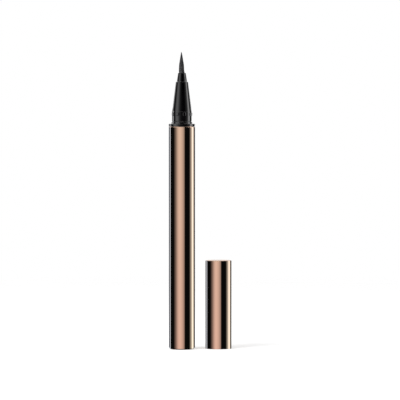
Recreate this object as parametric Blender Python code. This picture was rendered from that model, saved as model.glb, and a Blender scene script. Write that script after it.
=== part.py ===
"""Brush-tip liquid eyeliner pen, standing on its base, with its cap taken off and standing beside it.

Metres, +Z up. The origin is the centre of the pen's base, and the pen's axis is +Z.
The cap is drawn in its own frame, whose origin is the centre of its mouth, and stands mouth down.
Each turned piece is drawn as an outline of (radius, height) points and spun round its axis."""

import math

import bmesh
import bpy
from mathutils import Matrix
from mathutils.geometry import delaunay_2d_cdt

# Clearances, and how finely round pieces are faceted
SEAT_GAP = 0.0001
RUN_GAP = 0.00015
CAP_FIT_GAP = 0.0001
CUT_OVERRUN = 0.0005
WELD_DISTANCE = 0.0000001
ROUND_SIDES = 40
INNER_SIDES = 24
CORNER_STEPS = 3

# Barrel: a drawn metal sleeve over a moulded ink tank, whose collar covers the sleeve's end
BARREL_DIAMETER = 0.0100
SLEEVE_LENGTH = 0.0849
SLEEVE_WALL = 0.0004
SLEEVE_BASE_THICKNESS = 0.0005
SLEEVE_BASE_FILLET = 0.00115
SLEEVE_INNER_FILLET = 0.0006
TANK_WALL = 0.00075
TANK_BASE_THICKNESS = 0.0008
TANK_BASE_CHAMFER = 0.0005
TANK_FLOOR_FILLET = 0.0008
COLLAR_HEIGHT = 0.0010
COLLAR_EDGE = 0.0001
BALL_DIAMETER = 0.0030

# Front section: skirt in the tank, flare and neck that the cap closes over, and cone
SKIRT_LENGTH = 0.0220
SKIRT_WALL = 0.0008
SKIRT_CHAMFER = 0.0003
SEAL_GROOVE_DEPTH = 0.0005
SEAL_GROOVE_DROP = 0.0040
FLARE_HEIGHT = 0.0006
FLARE_LIP = 0.0001
NECK_STEP = 0.00027
NECK_GROOVE_DEPTH = 0.00015
NECK_GROOVE_HEIGHT = 0.00035
NECK_LENGTH = 0.00461
SNAP_BUMP_COUNT = 9
SNAP_BUMP_FIRST_DEG = 15
SNAP_BUMP_RISE = 0.0036
SNAP_BUMP_HEIGHT = 0.0013
SNAP_BUMP_WIDTH = 0.0011
SNAP_BUMP_PROUD = 0.00016
CONE_LENGTH = 0.0113
CONE_ROOT_STEP = 0.00005
CONE_RIM = 0.00038
CONE_EDGE = 0.0001
CONE_WALL = 0.0008
CONE_CORE_DROP = 0.0019

# Tip holder, pressed into the end of the cone
HOLDER_LENGTH = 0.0033
HOLDER_TAPER = 0.00048
HOLDER_MOUTH_WALL = 0.00028
HOLDER_MOUTH_CHAMFER = 0.00008
HOLDER_SPIGOT_LENGTH = 0.0040
HOLDER_SPIGOT_WALL = 0.00027

# Brush: tapered strands on a fused root, whose flange the holder catches
BRUSH_DIAMETER = 0.00222
BRUSH_LENGTH = 0.00814
BRUSH_RECESS = 0.0003
BRUSH_ROOT_LENGTH = 0.0044
BRUSH_FLANGE_LIP = 0.00025
BRUSH_FLANGE_HEIGHT = 0.0008
BRUSH_LEAN = 0.00017
STRAND_COUNT = 300
STRAND_WIDTH = 0.00009
STRAND_SIDES = 3
BRUSH_SHOULDER_HEIGHT_SHARE = 0.41
BRUSH_SHOULDER_WIDTH_SHARE = 0.80
BRUSH_POINT_WIDTH_SHARE = 0.12
SHORT_STRAND_SHARE = 0.18
UNEVEN_STRAND_SHARE = 0.12

# Ink feed: porous rod, and the comb that holds ink driven out of the tank
ROD_DIAMETER = 0.0015
ROD_TAIL = 0.0048
ROD_ENTRY = 0.0020
FIN_PITCH = 0.00150
FIN_THICKNESS = 0.0006
COMB_INSET = 0.0005
COMB_CORE_WALL = 0.0006
NOSE_WALL = 0.00035
NOSE_SEAT_LENGTH = 0.0015
AIR_SLOT_WIDTH = 0.0008
INK_SLOT_WIDTH = 0.0004

# Cap: metal shell, moulded liner, and a sprung inner cap that seals on the cone
CAP_LENGTH = 0.03385
CAP_WALL = 0.0004
CAP_TOP_THICKNESS = 0.0006
CAP_TOP_FILLET = 0.0004
CAP_MOUTH_EDGE = 0.0001
CAP_STAND_GAP = 0.00395
CAP_STAND_BACK = 0.0030
LINER_WALL = 0.00035
LINER_RECESS = 0.0003
LINER_MOUTH_DEPTH = 0.0090
LINER_GUIDE_WALL = 0.0009
SNAP_RING_RISE = 0.0020
SNAP_RING_HEIGHT = 0.0008
INNER_CAP_RISE = 0.0100
INNER_CAP_WALL = 0.0004
INNER_CAP_TOP_THICKNESS = 0.0006
INNER_CAP_FLANGE_HEIGHT = 0.0010
INNER_CAP_MOUTH_CHAMFER = 0.0002
INNER_CAP_BOSS_DIAMETER = 0.0044
INNER_CAP_BOSS_HEIGHT = 0.0006
SPRING_LENGTH = 0.0043
SPRING_WIRE = 0.0004
SPRING_TURNS = 4
SPRING_TURN_POINTS = 10

# Radii of the barrel, worked inwards from its outside
barrel_r = BARREL_DIAMETER / 2
sleeve_bore_r = barrel_r - SLEEVE_WALL
tank_r = sleeve_bore_r - SEAT_GAP
tank_bore_r = tank_r - TANK_WALL
skirt_r = tank_bore_r - SEAT_GAP
skirt_bore_r = skirt_r - SKIRT_WALL
seal_groove_r = skirt_r - SEAL_GROOVE_DEPTH
fin_r = skirt_bore_r - SEAT_GAP

# Radii of the cap, as wide as the barrel, and of the neck that it closes over
cap_r = barrel_r
cap_bore_r = cap_r - CAP_WALL
liner_r = cap_bore_r - SEAT_GAP
liner_bore_r = liner_r - LINER_WALL
guide_r = liner_r - LINER_GUIDE_WALL
inner_cap_r = guide_r - RUN_GAP
inner_cap_bore_r = inner_cap_r - INNER_CAP_WALL
flare_r = liner_bore_r - CAP_FIT_GAP
neck_r = flare_r - NECK_STEP
snap_ring_r = neck_r + CAP_FIT_GAP
boss_r = INNER_CAP_BOSS_DIAMETER / 2
spring_r = boss_r + RUN_GAP + SPRING_WIRE / 2

# Radii of the tip, worked outwards from the brush and the rod
brush_r = BRUSH_DIAMETER / 2
brush_flange_r = brush_r + BRUSH_FLANGE_LIP
holder_bore_r = brush_r + SEAT_GAP
holder_mouth_r = holder_bore_r + HOLDER_MOUTH_WALL
holder_root_r = holder_mouth_r + HOLDER_TAPER
spigot_bore_r = brush_flange_r + SEAT_GAP
spigot_r = spigot_bore_r + HOLDER_SPIGOT_WALL
socket_r = spigot_r + SEAT_GAP
cone_root_r = neck_r - CONE_ROOT_STEP
cone_tip_r = holder_root_r + CONE_RIM
rod_r = ROD_DIAMETER / 2
rod_bore_r = rod_r + SEAT_GAP
nose_r = rod_bore_r + NOSE_WALL
nose_bore_r = nose_r + SEAT_GAP
comb_core_r = rod_bore_r + COMB_CORE_WALL

# Heights of the pen, from its base up
tank_z = SLEEVE_BASE_THICKNESS + SEAT_GAP
tank_floor_z = tank_z + TANK_BASE_THICKNESS
collar_z = SLEEVE_LENGTH + SEAT_GAP
collar_top_z = collar_z + COLLAR_HEIGHT
section_z = collar_top_z + SEAT_GAP
skirt_end_z = section_z - SKIRT_LENGTH
cone_z = section_z + NECK_LENGTH
cone_tip_z = cone_z + CONE_LENGTH
holder_z = cone_tip_z + SEAT_GAP
holder_mouth_z = holder_z + HOLDER_LENGTH
spigot_end_z = holder_z - HOLDER_SPIGOT_LENGTH
socket_floor_z = spigot_end_z - SEAT_GAP
brush_z = holder_mouth_z - BRUSH_RECESS
brush_end_z = brush_z - BRUSH_ROOT_LENGTH
brush_flange_top_z = brush_end_z + BRUSH_FLANGE_HEIGHT
rod_top_z = brush_end_z + ROD_ENTRY
comb_z = skirt_end_z + COMB_INSET
rod_z = comb_z - ROD_TAIL
ball_z = tank_floor_z + SEAT_GAP + BALL_DIAMETER / 2

# Heights in the cap, from its mouth up
cap_x = barrel_r + CAP_STAND_GAP + cap_r
cap_ceiling = CAP_LENGTH - CAP_TOP_THICKNESS
spring_top = cap_ceiling - SEAT_GAP
spring_foot = spring_top - SPRING_LENGTH
inner_cap_top = spring_foot - SEAT_GAP
inner_cap_flange = inner_cap_top - INNER_CAP_FLANGE_HEIGHT
liner_ledge = inner_cap_flange - SEAT_GAP


def material(name, colour, roughness, metallic=0):
    """A Principled material."""
    made = bpy.data.materials.new(name)
    made.use_nodes = True
    shader = made.node_tree.nodes["Principled BSDF"]
    shader.inputs["Base Color"].default_value = (*colour, 1)
    shader.inputs["Roughness"].default_value = roughness
    shader.inputs["Metallic"].default_value = metallic
    made.diffuse_color = (*colour, 1)
    return made


def place(name, mesh, finish, location, parent=None):
    """Puts a mesh into the scene as a named object with a material of its own."""
    piece = bpy.data.objects.new(name, mesh)
    bpy.context.scene.collection.objects.link(piece)
    mesh.materials.append(finish)
    piece.location = location
    piece.parent = parent
    return piece


def mesh_from(name, shape):
    """Welds a bmesh, turns its faces outwards, shades it smooth but for its edges, and returns its mesh."""
    bmesh.ops.remove_doubles(shape, verts=shape.verts, dist=WELD_DISTANCE)
    bmesh.ops.recalc_face_normals(shape, faces=shape.faces)
    mesh = bpy.data.meshes.new(name)
    shape.to_mesh(mesh)
    shape.free()
    mesh.shade_smooth()
    mesh.set_sharp_from_angle(angle=math.radians(30))
    return mesh


def spin_outline(shape, outline, sides, closed):
    """Adds to a bmesh the surface that an outline of (radius, height) points sweeps round Z."""
    verts = [shape.verts.new((r, 0, z)) for r, z in outline]
    ends = list(zip(verts, verts[1:]))
    if closed:
        ends.append((verts[-1], verts[0]))
    edges = [shape.edges.new(pair) for pair in ends]
    bmesh.ops.spin(
        shape,
        geom=verts + edges,
        cent=(0, 0, 0),
        axis=(0, 0, 1),
        angle=math.tau,
        steps=sides,
        use_merge=True,
    )


def turned(name, outline, sides):
    """The mesh of a turned piece. An outline that starts and ends on the axis is left open there."""
    on_axis = outline[0][0] == 0 and outline[-1][0] == 0
    shape = bmesh.new()
    spin_outline(shape, outline, sides, closed=not on_axis)
    return mesh_from(name, shape)


def corner(r, z, radius, start_deg):
    """The quarter arc of a rounded corner, about (r, z), from start_deg turning left."""
    angles = [math.radians(start_deg + 90 * step / CORNER_STEPS) for step in range(CORNER_STEPS + 1)]
    return [(r + radius * math.cos(angle), z + radius * math.sin(angle)) for angle in angles]


def corner_back(r, z, radius, start_deg):
    """The quarter arc of a hollow corner, about (r, z), from start_deg turning right."""
    return corner(r, z, radius, start_deg - 90)[::-1]


def cutter(name, shape):
    """A closed helper shape for a Boolean, which is no piece of the object."""
    bmesh.ops.recalc_face_normals(shape, faces=shape.faces)
    mesh = bpy.data.meshes.new(name)
    shape.to_mesh(mesh)
    shape.free()
    helper = bpy.data.objects.new(name, mesh)
    bpy.context.scene.collection.objects.link(helper)
    helper.hide_render = True
    helper.display_type = "WIRE"
    return helper


def boolean(piece, helper, operation):
    """Joins a helper to a piece, or cuts it away."""
    modifier = piece.modifiers.new(helper.name, "BOOLEAN")
    modifier.operation = operation
    modifier.object = helper
    helper.parent = piece


def barrel_sleeve(finish):
    """Drawn metal cup, closed at the base."""
    outline = [
        (0, 0),
        *corner(barrel_r - SLEEVE_BASE_FILLET, SLEEVE_BASE_FILLET, SLEEVE_BASE_FILLET, -90),
        (barrel_r, SLEEVE_LENGTH),
        (sleeve_bore_r, SLEEVE_LENGTH),
        *corner_back(
            sleeve_bore_r - SLEEVE_INNER_FILLET,
            SLEEVE_BASE_THICKNESS + SLEEVE_INNER_FILLET,
            SLEEVE_INNER_FILLET,
            0,
        ),
        (0, SLEEVE_BASE_THICKNESS),
    ]
    place("barrel_sleeve", turned("barrel_sleeve", outline, ROUND_SIDES), finish, (0, 0, 0))


def ink_tank(finish):
    """Moulded tank that fills the sleeve. Its collar covers the sleeve's end and stops the cap."""
    height = collar_top_z - tank_z
    collar = collar_z - tank_z
    outline = [
        (0, 0),
        (tank_r - TANK_BASE_CHAMFER, 0),
        (tank_r, TANK_BASE_CHAMFER),
        (tank_r, collar),
        (barrel_r, collar),
        *corner(barrel_r - COLLAR_EDGE, height - COLLAR_EDGE, COLLAR_EDGE, 0),
        (tank_bore_r, height),
        *corner_back(
            tank_bore_r - TANK_FLOOR_FILLET,
            TANK_BASE_THICKNESS + TANK_FLOOR_FILLET,
            TANK_FLOOR_FILLET,
            0,
        ),
        (0, TANK_BASE_THICKNESS),
    ]
    place("ink_tank", turned("ink_tank", outline, ROUND_SIDES), finish, (0, 0, tank_z))


def mixing_ball(finish):
    """Steel ball that stirs the ink when the pen is shaken. It rests on the tank's floor."""
    shape = bmesh.new()
    bmesh.ops.create_uvsphere(shape, u_segments=16, v_segments=10, radius=BALL_DIAMETER / 2)
    place("mixing_ball", mesh_from("mixing_ball", shape), finish, (0, 0, ball_z))


def snap_bumps():
    """The ring of small bumps on the neck that the cap's snap ring rides over, as one helper shape."""
    shape = bmesh.new()
    for index in range(SNAP_BUMP_COUNT):
        turn = math.radians(SNAP_BUMP_FIRST_DEG - 90) + math.tau * index / SNAP_BUMP_COUNT
        where = (
            Matrix.Rotation(turn, 4, "Z")
            @ Matrix.Translation((neck_r, 0, SNAP_BUMP_RISE))
            @ Matrix.Diagonal((SNAP_BUMP_PROUD, SNAP_BUMP_WIDTH / 2, SNAP_BUMP_HEIGHT / 2, 1))
        )
        bmesh.ops.create_icosphere(shape, subdivisions=1, radius=1, matrix=where)
    return cutter("snap_bumps", shape)


def front_section(finish):
    """Moulded section. Its heights here are counted from the tank's collar, which its flare rests on."""
    groove_height = tank_bore_r - seal_groove_r
    core_low = NECK_LENGTH - CONE_CORE_DROP
    tip = cone_tip_z - section_z
    floor = socket_floor_z - section_z
    nose_low = floor - NOSE_SEAT_LENGTH
    cone_slope = (cone_root_r - cone_tip_r) / CONE_LENGTH
    core_end_r = cone_root_r - (nose_low - NECK_LENGTH) * cone_slope - CONE_WALL
    outline = [
        (skirt_bore_r, -SKIRT_LENGTH),
        (skirt_r - SKIRT_CHAMFER, -SKIRT_LENGTH),
        (skirt_r, SKIRT_CHAMFER - SKIRT_LENGTH),
        (skirt_r, -SEAL_GROOVE_DROP - groove_height),
        (seal_groove_r, -SEAL_GROOVE_DROP - groove_height),
        (seal_groove_r, -SEAL_GROOVE_DROP),
        (skirt_r, -SEAL_GROOVE_DROP),
        (skirt_r, 0),
        (flare_r, 0),
        (neck_r + FLARE_LIP, FLARE_HEIGHT),
        (neck_r - NECK_GROOVE_DEPTH, FLARE_HEIGHT),
        (neck_r - NECK_GROOVE_DEPTH, FLARE_HEIGHT + NECK_GROOVE_HEIGHT),
        (neck_r, FLARE_HEIGHT + NECK_GROOVE_HEIGHT),
        (neck_r, NECK_LENGTH),
        (cone_root_r, NECK_LENGTH),
        *corner(cone_tip_r - CONE_EDGE, tip - CONE_EDGE, CONE_EDGE, 0),
        (socket_r, tip),
        (socket_r, floor),
        (nose_bore_r, floor),
        (nose_bore_r, nose_low),
        (core_end_r, nose_low),
        (skirt_bore_r, core_low),
    ]
    mesh = turned("front_section", outline, ROUND_SIDES)
    piece = place("front_section", mesh, finish, (0, 0, section_z))
    boolean(piece, snap_bumps(), "UNION")


def section_seal_ring(finish):
    """Rubber ring in the skirt's groove, which keeps ink in the tank."""
    section = (tank_bore_r - seal_groove_r) / 2 - SEAT_GAP
    middle = (tank_bore_r + seal_groove_r) / 2
    angles = [math.tau * step / 6 for step in range(6)]
    outline = [(middle + section * math.cos(a), section * math.sin(a)) for a in angles]
    height = section_z - SEAL_GROOVE_DROP - (tank_bore_r - seal_groove_r) / 2
    place("section_seal_ring", turned("section_seal_ring", outline, ROUND_SIDES), finish, (0, 0, height))


def slot_cutter(name, width, near, far, height):
    """A long box that cuts one slot up the comb, between two places on the Y axis."""
    shape = bmesh.new()
    middle = (0, (near + far) / 2, (height - CUT_OVERRUN) / 2)
    size = (width, abs(far - near), height + CUT_OVERRUN, 1)
    bmesh.ops.create_cube(shape, size=1, matrix=Matrix.Translation(middle) @ Matrix.Diagonal(size))
    return cutter(name, shape)


def ink_collector(finish):
    """Comb of fins round a tube. Ink that the tank's warm air drives out waits between the fins."""
    finned = section_z - comb_z
    count = max(int((finned - FIN_THICKNESS) / FIN_PITCH), 1)
    nose_top = socket_floor_z - SEAT_GAP - comb_z
    outline = [(rod_bore_r, 0)]
    for index in range(count):
        low = index * FIN_PITCH
        high = low + FIN_THICKNESS
        outline += [(fin_r, low), (fin_r, high), (comb_core_r, high), (comb_core_r, low + FIN_PITCH)]
    outline += [(nose_r, count * FIN_PITCH), (nose_r, nose_top), (rod_bore_r, nose_top)]
    piece = place("ink_collector", turned("ink_collector", outline, INNER_SIDES), finish, (0, 0, comb_z))
    slot_top = count * FIN_PITCH - (FIN_PITCH - FIN_THICKNESS) / 2
    far = fin_r + CUT_OVERRUN
    boolean(piece, slot_cutter("ink_slot", INK_SLOT_WIDTH, 0, -far, slot_top), "DIFFERENCE")
    boolean(piece, slot_cutter("air_slot", AIR_SLOT_WIDTH, comb_core_r, far, slot_top), "DIFFERENCE")


def feed_rod(finish):
    """Porous rod that draws ink from the tank, through the comb, into the brush."""
    length = rod_top_z - rod_z
    outline = [(0, 0), (rod_r, 0), (rod_r, length), (0, length)]
    place("feed_rod", turned("feed_rod", outline, INNER_SIDES), finish, (0, 0, rod_z))


def tip_holder(finish):
    """Tapered holder whose spigot sits in the cone. Its heights are counted from the cone's end."""
    ledge = brush_flange_top_z + SEAT_GAP - holder_z
    outline = [
        (spigot_bore_r, -HOLDER_SPIGOT_LENGTH),
        (spigot_r, -HOLDER_SPIGOT_LENGTH),
        (spigot_r, 0),
        (holder_root_r, 0),
        (holder_mouth_r, HOLDER_LENGTH - HOLDER_MOUTH_CHAMFER),
        (holder_mouth_r - HOLDER_MOUTH_CHAMFER, HOLDER_LENGTH),
        (holder_bore_r, HOLDER_LENGTH),
        (holder_bore_r, ledge),
        (spigot_bore_r, ledge),
    ]
    place("tip_holder", turned("tip_holder", outline, ROUND_SIDES), finish, (0, 0, holder_z))


def brush_retainer(finish):
    """Plain ring behind the brush's root, which keeps its flange against the holder's ledge."""
    low = socket_floor_z + SEAT_GAP
    length = brush_end_z - SEAT_GAP - low
    outer = spigot_bore_r - SEAT_GAP
    outline = [(rod_bore_r, 0), (outer, 0), (outer, length), (rod_bore_r, length)]
    place("brush_retainer", turned("brush_retainer", outline, INNER_SIDES), finish, (0, 0, low))


def strand_centres():
    """Where each strand stands on the brush's root: a sunflower spiral, which spaces them evenly."""
    reach = brush_r - STRAND_WIDTH
    golden = math.pi * (3 - math.sqrt(5))
    for index in range(STRAND_COUNT):
        r = reach * math.sqrt((index + 0.5) / STRAND_COUNT)
        yield index, r, index * golden


def brush_width_share(height_share):
    """How wide the brush is at a share of its height, as a share of its width at the root."""
    if height_share < BRUSH_SHOULDER_HEIGHT_SHARE:
        drawn_in = height_share / BRUSH_SHOULDER_HEIGHT_SHARE
        return 1 - (1 - BRUSH_SHOULDER_WIDTH_SHARE) * drawn_in
    drawn_in = (height_share - BRUSH_SHOULDER_HEIGHT_SHARE) / (1 - BRUSH_SHOULDER_HEIGHT_SHARE)
    return BRUSH_SHOULDER_WIDTH_SHARE + (BRUSH_POINT_WIDTH_SHARE - BRUSH_SHOULDER_WIDTH_SHARE) * drawn_in


def brush_point(x, y, height_share):
    """Where the point (x, y) of the root's end goes at a share of the brush's height.

    Every strand is drawn in by the same share and leans alike at the same height, so no two cross.
    The lean is all in the part below the shoulder."""
    width = brush_width_share(height_share)
    lean = BRUSH_LEAN * min(height_share / BRUSH_SHOULDER_HEIGHT_SHARE, 1)
    length = BRUSH_LENGTH + BRUSH_RECESS
    return (x * width - lean, y * width, length * height_share)


def brush_tip(finish):
    """Strands on their fused root. The root's end face is cut into facets round the foot of each strand."""
    shape = bmesh.new()
    entry = ROD_ENTRY + SEAT_GAP
    root = [
        (brush_r, 0),
        (brush_r, brush_flange_top_z - brush_z),
        (brush_flange_r, brush_flange_top_z - brush_z),
        (brush_flange_r, -BRUSH_ROOT_LENGTH),
        (rod_bore_r, -BRUSH_ROOT_LENGTH),
        (rod_bore_r, entry - BRUSH_ROOT_LENGTH),
        (0, entry - BRUSH_ROOT_LENGTH),
    ]
    spin_outline(shape, root, INNER_SIDES, closed=False)

    # The plan of the end face in shares of its radius: its rim, then the foot of each strand
    rim_angles = [math.tau * step / INNER_SIDES for step in range(INNER_SIDES)]
    plan = [(math.cos(angle), math.sin(angle)) for angle in rim_angles]
    outlines = [list(range(INNER_SIDES))]
    tips = []
    for index, r, turn in strand_centres():
        foot = []
        for side in range(STRAND_SIDES):
            angle = turn + math.tau * side / STRAND_SIDES
            x = r * math.cos(turn) + STRAND_WIDTH / 2 * math.cos(angle)
            y = r * math.sin(turn) + STRAND_WIDTH / 2 * math.sin(angle)
            foot.append(len(plan))
            plan.append((x / brush_r, y / brush_r))
        outlines.append(foot)
        shorter = (SHORT_STRAND_SHARE + UNEVEN_STRAND_SHARE * math.cos(index)) * r / brush_r
        tips.append(brush_point(r * math.cos(turn), r * math.sin(turn), 1 - shorter))
    points, _, faces, _, _, owners = delaunay_2d_cdt(plan, [], outlines, 0, 0.000001)
    flat = [shape.verts.new((x * brush_r, y * brush_r, 0)) for x, y in points]
    for face, owner in zip(faces, owners):
        if owner == [0]:
            shape.faces.new([flat[corner_index] for corner_index in face])

    for foot, tip in zip(outlines[1:], tips):
        low = [shape.verts.new((plan[at][0] * brush_r, plan[at][1] * brush_r, 0)) for at in foot]
        high = [shape.verts.new(brush_point(v.co.x, v.co.y, BRUSH_SHOULDER_HEIGHT_SHARE)) for v in low]
        top = shape.verts.new(tip)
        for side in range(STRAND_SIDES):
            after = (side + 1) % STRAND_SIDES
            shape.faces.new((low[side], low[after], high[after], high[side]))
            shape.faces.new((high[side], high[after], top))
    place("brush_tip", mesh_from("brush_tip", shape), finish, (0, 0, brush_z))


def cap_shell(finish, parent):
    """Drawn metal cap, closed at the top."""
    outline = [
        (0, cap_ceiling),
        (cap_bore_r, cap_ceiling),
        (cap_bore_r, CAP_MOUTH_EDGE),
        (cap_bore_r + CAP_MOUTH_EDGE, 0),
        (cap_r - CAP_MOUTH_EDGE, 0),
        (cap_r, CAP_MOUTH_EDGE),
        *corner(cap_r - CAP_TOP_FILLET, CAP_LENGTH - CAP_TOP_FILLET, CAP_TOP_FILLET, 0),
        (0, CAP_LENGTH),
    ]
    place("cap_shell", turned("cap_shell", outline, ROUND_SIDES), finish, (0, 0, 0), parent)


def cap_liner(finish, parent):
    """Moulded liner: a mouth with the snap ring, a guide for the inner cap, and a chamber for its spring."""
    ring_low = SNAP_RING_RISE
    ring_high = SNAP_RING_RISE + SNAP_RING_HEIGHT
    ring_ramp = liner_bore_r - snap_ring_r
    outline = [
        (liner_bore_r, LINER_RECESS),
        (liner_r, LINER_RECESS),
        (liner_r, spring_top),
        (liner_bore_r, spring_top),
        (liner_bore_r, liner_ledge),
        (guide_r, liner_ledge),
        (guide_r, LINER_MOUTH_DEPTH),
        (liner_bore_r, LINER_MOUTH_DEPTH),
        (liner_bore_r, ring_high),
        (snap_ring_r, ring_high - ring_ramp),
        (snap_ring_r, ring_low + ring_ramp),
        (liner_bore_r, ring_low),
    ]
    place("cap_liner", turned("cap_liner", outline, ROUND_SIDES), finish, (0, 0, 0), parent)


def inner_cap(finish, parent):
    """Sprung thimble that seals on the cone. Its heights are counted from its own mouth."""
    flange = inner_cap_flange - INNER_CAP_RISE
    top = inner_cap_top - INNER_CAP_RISE
    ceiling = top - INNER_CAP_TOP_THICKNESS
    flange_r = liner_bore_r - RUN_GAP
    outline = [
        (0, ceiling),
        (inner_cap_bore_r, ceiling),
        (inner_cap_bore_r, INNER_CAP_MOUTH_CHAMFER),
        (inner_cap_bore_r + INNER_CAP_MOUTH_CHAMFER, 0),
        (inner_cap_r, 0),
        (inner_cap_r, flange),
        (flange_r, flange),
        (flange_r, top),
        (boss_r, top),
        (boss_r, top + INNER_CAP_BOSS_HEIGHT),
        (0, top + INNER_CAP_BOSS_HEIGHT),
    ]
    mesh = turned("inner_cap", outline, ROUND_SIDES)
    place("inner_cap", mesh, finish, (0, 0, INNER_CAP_RISE), parent)


def least_self_gap(points, wire):
    """The least gap of a coiled wire to itself, measured between points at least half a turn apart."""
    apart = SPRING_TURN_POINTS // 2
    least = min(
        math.dist(a, b)
        for index, a in enumerate(points)
        for b in points[index + apart :]
    )
    return least - wire


def inner_cap_spring(finish, parent):
    """Open coil that presses the inner cap down on its ledge. Its heights are counted from its foot."""
    climb = SPRING_LENGTH - SPRING_WIRE
    steps = SPRING_TURNS * SPRING_TURN_POINTS
    points = []
    for step in range(steps + 1):
        turn = math.tau * step / SPRING_TURN_POINTS
        height = SPRING_WIRE / 2 + climb * step / steps
        points.append((spring_r * math.cos(turn), spring_r * math.sin(turn), height))
    print(f"inner_cap_spring: least gap to itself {1000 * least_self_gap(points, SPRING_WIRE):.3f} mm")
    curve = bpy.data.curves.new("inner_cap_spring", "CURVE")
    curve.dimensions = "3D"
    curve.bevel_depth = SPRING_WIRE / 2
    curve.bevel_resolution = 1
    curve.use_fill_caps = True
    spline = curve.splines.new("POLY")
    spline.points.add(len(points) - 1)
    for point, where in zip(spline.points, points):
        point.co = (*where, 1)
    place("inner_cap_spring", curve, finish, (0, 0, spring_foot), parent)


def main():
    for old in list(bpy.data.objects):
        bpy.data.objects.remove(old)

    rose_metal = material("rose_gold_metal", (0.78, 0.53, 0.40), 0.12, 1)
    black_gloss = material("black_gloss_plastic", (0.012, 0.012, 0.014), 0.15)
    bristle = material("black_bristle", (0.03, 0.03, 0.032), 0.6)
    natural = material("natural_plastic", (0.80, 0.80, 0.77), 0.4)
    fibre = material("porous_fibre", (0.62, 0.60, 0.55), 0.9)
    rubber = material("seal_rubber", (0.02, 0.02, 0.02), 0.7)
    steel = material("steel", (0.62, 0.62, 0.64), 0.2, 1)

    barrel_sleeve(rose_metal)
    ink_tank(black_gloss)
    mixing_ball(steel)
    front_section(black_gloss)
    section_seal_ring(rubber)
    ink_collector(natural)
    feed_rod(fibre)
    tip_holder(black_gloss)
    brush_retainer(natural)
    brush_tip(bristle)

    cap_axis = bpy.data.objects.new("cap_axis", None)
    bpy.context.scene.collection.objects.link(cap_axis)
    cap_axis.location = (cap_x, CAP_STAND_BACK, 0)
    cap_shell(rose_metal, cap_axis)
    cap_liner(natural, cap_axis)
    inner_cap(natural, cap_axis)
    inner_cap_spring(steel, cap_axis)


main()
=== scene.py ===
"""Looks of the brush-tip liquid eyeliner pen and its cap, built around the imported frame.

Metres, in the frame's own axes: the pen's axis is +Z, and the cap stands at +X.
The camera looks along +Y, a little down.
The turned pieces repeat the outlines of the CAD with finer facets,
because their metal and plastic mirror the studio."""

import math
from functools import partial

import bmesh
import bpy
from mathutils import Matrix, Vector


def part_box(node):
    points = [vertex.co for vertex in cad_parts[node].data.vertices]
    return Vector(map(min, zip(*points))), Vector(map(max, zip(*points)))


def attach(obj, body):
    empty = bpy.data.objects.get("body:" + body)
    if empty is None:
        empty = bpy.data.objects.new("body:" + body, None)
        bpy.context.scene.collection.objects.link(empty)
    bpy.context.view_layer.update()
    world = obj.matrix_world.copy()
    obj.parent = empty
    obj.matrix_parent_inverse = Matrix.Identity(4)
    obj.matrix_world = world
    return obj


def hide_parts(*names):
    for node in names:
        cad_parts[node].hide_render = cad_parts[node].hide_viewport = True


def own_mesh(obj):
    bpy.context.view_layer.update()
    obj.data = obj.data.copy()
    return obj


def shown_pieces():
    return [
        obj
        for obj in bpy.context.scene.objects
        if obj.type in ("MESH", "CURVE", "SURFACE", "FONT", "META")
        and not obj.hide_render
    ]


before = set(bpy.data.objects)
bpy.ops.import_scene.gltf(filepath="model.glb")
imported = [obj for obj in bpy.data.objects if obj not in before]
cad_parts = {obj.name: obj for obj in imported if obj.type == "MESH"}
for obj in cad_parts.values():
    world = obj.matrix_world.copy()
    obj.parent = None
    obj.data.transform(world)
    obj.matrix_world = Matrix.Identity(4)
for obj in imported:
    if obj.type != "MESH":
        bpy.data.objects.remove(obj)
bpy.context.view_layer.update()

# How finely pieces are faceted
FINE_SIDES = 256
PLAIN_SIDES = 96
CORNER_STEPS = 8
HOLD = 0.00003
HOLDS_IN_LONG_RUN = 4
SHARP_DEG = 32
WELD_DISTANCE = 0.0000001

# Clearances of the CAD
SEAT_GAP = 0.0001
RUN_GAP = 0.00015
CAP_FIT_GAP = 0.0001

# Barrel and ink tank
BARREL_RADIUS = 0.0050
SLEEVE_LENGTH = 0.0849
SLEEVE_WALL = 0.0004
SLEEVE_RIM = 0.00008
BASE_THICKNESS = 0.0005
BASE_FILLET = 0.00115
BASE_INNER_FILLET = 0.0006
TANK_WALL = 0.00075
TANK_BASE_THICKNESS = 0.0008
TANK_BASE_CHAMFER = 0.0005
TANK_FLOOR_FILLET = 0.0008
COLLAR_HEIGHT = 0.0010
COLLAR_EDGE = 0.0001

# Front section
SKIRT_LENGTH = 0.0220
SKIRT_WALL = 0.0008
SKIRT_CHAMFER = 0.0003
SEAL_GROOVE_DEPTH = 0.0005
SEAL_GROOVE_DROP = 0.0040
FLARE_HEIGHT = 0.0006
FLARE_LIP = 0.0001
NECK_STEP = 0.00027
NECK_GROOVE_DEPTH = 0.00015
NECK_GROOVE_HEIGHT = 0.00035
NECK_GROOVE_ROWS = 8
NECK_LENGTH = 0.00461
NECK_EDGE = 0.00006
SNAP_BUMP_COUNT = 9
SNAP_BUMP_FIRST_DEG = 15
SNAP_BUMP_RISE = 0.0036
SNAP_BUMP_HEIGHT = 0.0013
SNAP_BUMP_WIDTH = 0.0011
SNAP_BUMP_PROUD = 0.00016
SNAP_BUMP_ROWS = 20
SNAP_BUMP_POWER = 4
CONE_LENGTH = 0.0113
CONE_ROOT_STEP = 0.00005
CONE_RIM = 0.00038
CONE_EDGE = 0.0001
CONE_WALL = 0.0008
CONE_CORE_DROP = 0.0019
NOSE_BORE_RADIUS = 0.0013
NOSE_SEAT_LENGTH = 0.0015

# Tip holder
HOLDER_LENGTH = 0.0033
HOLDER_TAPER = 0.00048
HOLDER_MOUTH_WALL = 0.00028
HOLDER_MOUTH_EDGE = 0.00008
HOLDER_SPIGOT_LENGTH = 0.0040
HOLDER_SPIGOT_WALL = 0.00027

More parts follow.
